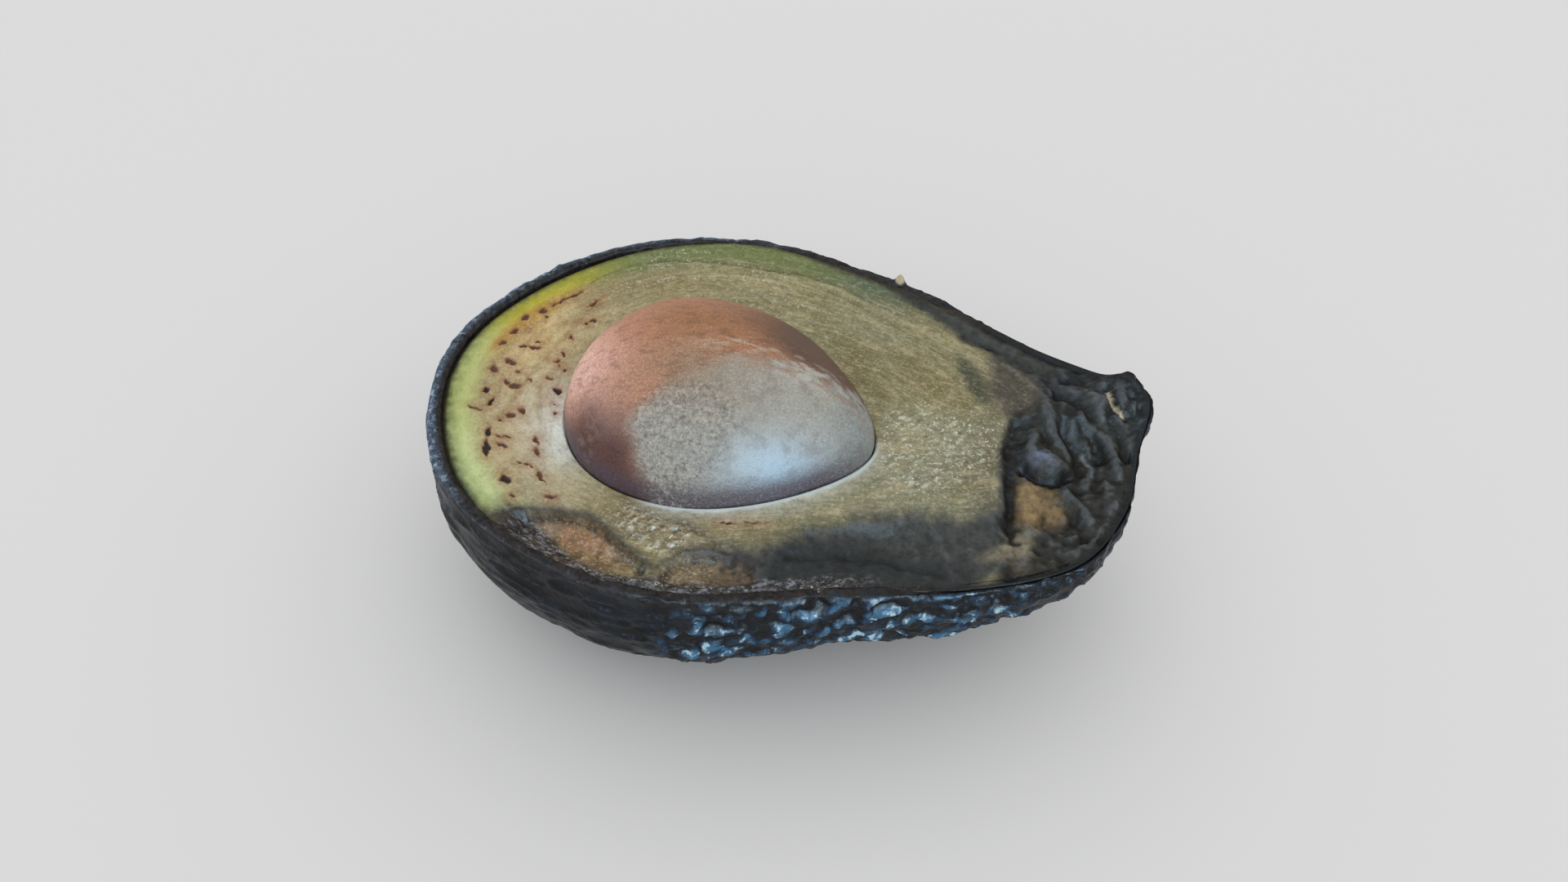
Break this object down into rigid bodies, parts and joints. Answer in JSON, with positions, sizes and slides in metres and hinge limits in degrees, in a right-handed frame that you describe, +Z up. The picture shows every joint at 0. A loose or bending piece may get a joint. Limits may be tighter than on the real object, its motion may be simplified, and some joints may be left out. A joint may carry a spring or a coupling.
{
  "type": "cut avocado half",
  "caption": "Half of a cut avocado with its seed, lying cut face up, browned and shrunken at the stem end and under a dark pebbled rind.",
  "frame": {"origin": "on the surface that the half rests on, below the middle of its bounding box", "axes": "+X along the fruit to the stem end, +Y to its far side, +Z up out of the cut face"},
  "size_m": [0.1028, 0.0696, 0.0426],
  "materials": {
    "rind": "blue-black, pebbled and leathery, with a waxy gloss",
    "flesh": "khaki drying flesh with a yellow-green band under the rind, brown flecks and dark folds",
    "seed": "orange-brown smooth seed with a pale grey dry film on one side"
  },
  "bodies": {
    "root": {"skin": "rind", "flesh": "flesh", "seed": "seed"}
  },
  "joints": []
}
